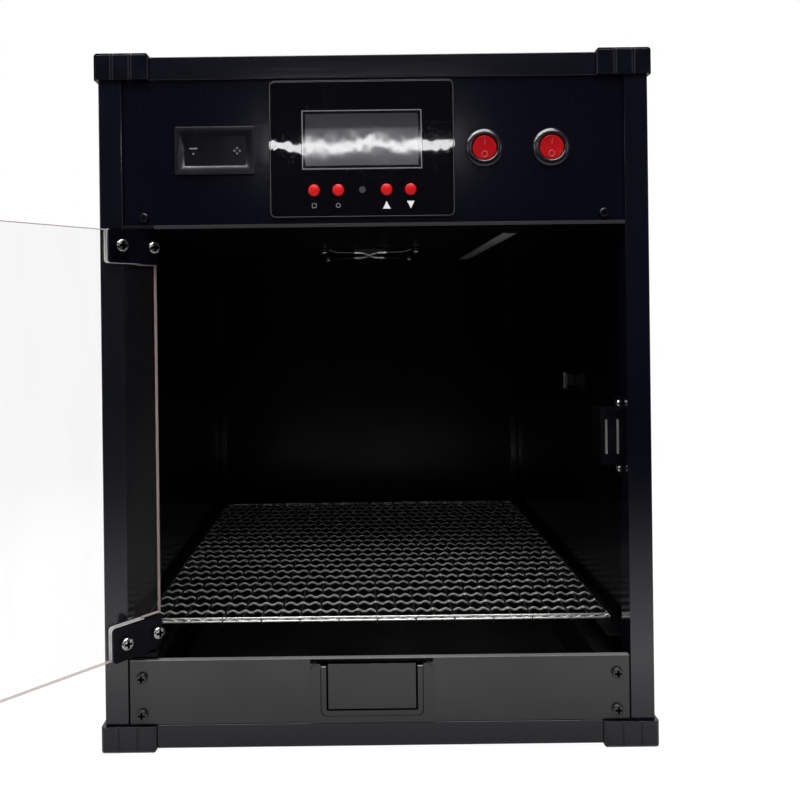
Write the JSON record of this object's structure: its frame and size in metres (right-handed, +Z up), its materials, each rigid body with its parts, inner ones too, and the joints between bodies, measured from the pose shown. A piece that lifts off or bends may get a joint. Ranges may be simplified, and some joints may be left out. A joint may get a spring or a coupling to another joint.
{
  "type": "brooder cabinet",
  "caption": "Heated brooder cabinet: square-tube frame with black panels, clear swing door, wire floor over a pull-out drawer, and a control fascia with display and switches.",
  "frame": {"origin": "on the floor under the middle of the cabinet's four posts", "axes": "+Z up, -Y out of the front, +X to the right of someone facing the front"},
  "size_m": [0.5142, 0.5565, 0.42],
  "materials": {
    "black_tube": "black anodised square tube, fine drawn grain",
    "corner_plastic": "moulded black plastic, fine texture",
    "wall_panel": "black gloss sheet",
    "fascia_black": "black semi-gloss sheet",
    "coated_sheet": "black powder-coated sheet",
    "pull_black": "moulded black plastic, satin",
    "control_gloss": "black high-gloss film",
    "display_grey": "grey display glass",
    "case_plastic": "moulded black plastic",
    "button_red": "red moulded cap",
    "rocker_red": "red translucent rocker",
    "lamp_dark": "unlit lamp lens",
    "meter_window": "dark display window",
    "clear_acrylic": "clear acrylic sheet with polished edges",
    "clamp_black": "black lacquered die casting",
    "pad_clear": "translucent pad",
    "bright_steel": "bright plated steel",
    "black_screw": "black oxide screw",
    "floor_wire": "crimped steel wire",
    "heater_alloy": "bare aluminium",
    "lamp_diffuser": "white diffuser"
  },
  "bodies": {
    "cabinet": {"post_front_left": "black_tube", "post_front_right": "black_tube", "post_rear_left": "black_tube", "post_rear_right": "black_tube", "rails_top": "black_tube", "rails_bottom": "black_tube", "corner_blocks_top": "corner_plastic", "corner_blocks_bottom": "corner_plastic", "side_panel_left": "wall_panel", "side_panel_right": "wall_panel", "back_panel": "wall_panel", "top_panel": "wall_panel", "base_panel": "wall_panel", "fascia_panel": "fascia_black", "ceiling_panel": "coated_sheet", "drawer_runners": "coated_sheet", "floor_ledges": "coated_sheet", "hinge_bracket_upper": "coated_sheet", "hinge_bracket_lower": "coated_sheet", "controller_plate": "control_gloss", "lcd_window": "display_grey", "controller_case": "case_plastic", "thermometer_case": "case_plastic", "switch_left_case": "case_plastic", "switch_right_case": "case_plastic", "fan_frame": "case_plastic", "cord_gland": "case_plastic", "catch_housing": "case_plastic", "output_lamp": "lamp_dark", "thermometer_window": "meter_window", "steel_screws": "bright_steel", "catch_poles": "bright_steel", "sensor_probe": "bright_steel", "fascia_screws": "black_screw", "floor_mesh": "floor_wire", "fan_guard": "floor_wire", "heater_block": "heater_alloy", "power_supply": "heater_alloy", "light_bar": "lamp_diffuser"},
    "door": {"door_pane": "clear_acrylic", "upper_hinge_clamp": "clamp_black", "lower_hinge_clamp": "clamp_black", "hinge_cover_plates": "clamp_black", "hinge_pads": "pad_clear", "door_screws": "bright_steel", "door_strike_plate": "bright_steel", "door_knob": "case_plastic"},
    "drawer": {"drawer_front": "coated_sheet", "drawer_tray": "coated_sheet", "drawer_screws": "black_screw", "pull_plate": "pull_black"},
    "bail": {"pull_bail": "pull_black"},
    "enter_button": {"button_enter": "button_red"},
    "set_button": {"button_set": "button_red"},
    "up_button": {"button_up": "button_red"},
    "down_button": {"button_down": "button_red"},
    "left_rocker": {"switch_left_rocker": "rocker_red"},
    "right_rocker": {"switch_right_rocker": "rocker_red"},
    "rotor": {"fan_rotor": "case_plastic"}
  },
  "joints": [
    {"name": "door_swing", "type": "hinge", "parent": "cabinet", "child": "door", "pos_m": [-0.1405, -0.1685, 0.1868], "axis": [0, 0, 1], "range_deg": [-2, 135]},
    {"name": "drawer_slide", "type": "slide", "parent": "cabinet", "child": "drawer", "axis": [0, -1, 0], "range_m": [0, 0.24]},
    {"name": "bail_swing", "type": "hinge", "parent": "drawer", "child": "bail", "pos_m": [-0.0046, -0.1721, 0.0493], "axis": [-1, 0, 0], "range_deg": [0, 90]},
    {"name": "enter_press", "type": "slide", "parent": "cabinet", "child": "enter_button", "axis": [0, 1, 0], "range_m": [0, 0.001], "stiffness_N_per_m": 400},
    {"name": "set_press", "type": "slide", "parent": "cabinet", "child": "set_button", "axis": [0, 1, 0], "range_m": [0, 0.001], "stiffness_N_per_m": 400},
    {"name": "up_press", "type": "slide", "parent": "cabinet", "child": "up_button", "axis": [0, 1, 0], "range_m": [0, 0.001], "stiffness_N_per_m": 400},
    {"name": "down_press", "type": "slide", "parent": "cabinet", "child": "down_button", "axis": [0, 1, 0], "range_m": [0, 0.001], "stiffness_N_per_m": 400},
    {"name": "left_rock", "type": "hinge", "parent": "cabinet", "child": "left_rocker", "pos_m": [0.0669, -0.1708, 0.361], "axis": [1, 0, 0], "range_deg": [-20, 0]},
    {"name": "right_rock", "type": "hinge", "parent": "cabinet", "child": "right_rocker", "pos_m": [0.1073, -0.1708, 0.361], "axis": [1, 0, 0], "range_deg": [-20, 0]},
    {"name": "fan_spin", "type": "hinge", "parent": "cabinet", "child": "rotor", "pos_m": [0, -0.0075, 0.328], "axis": [0, 0, 1], "continuous": true}
  ]
}
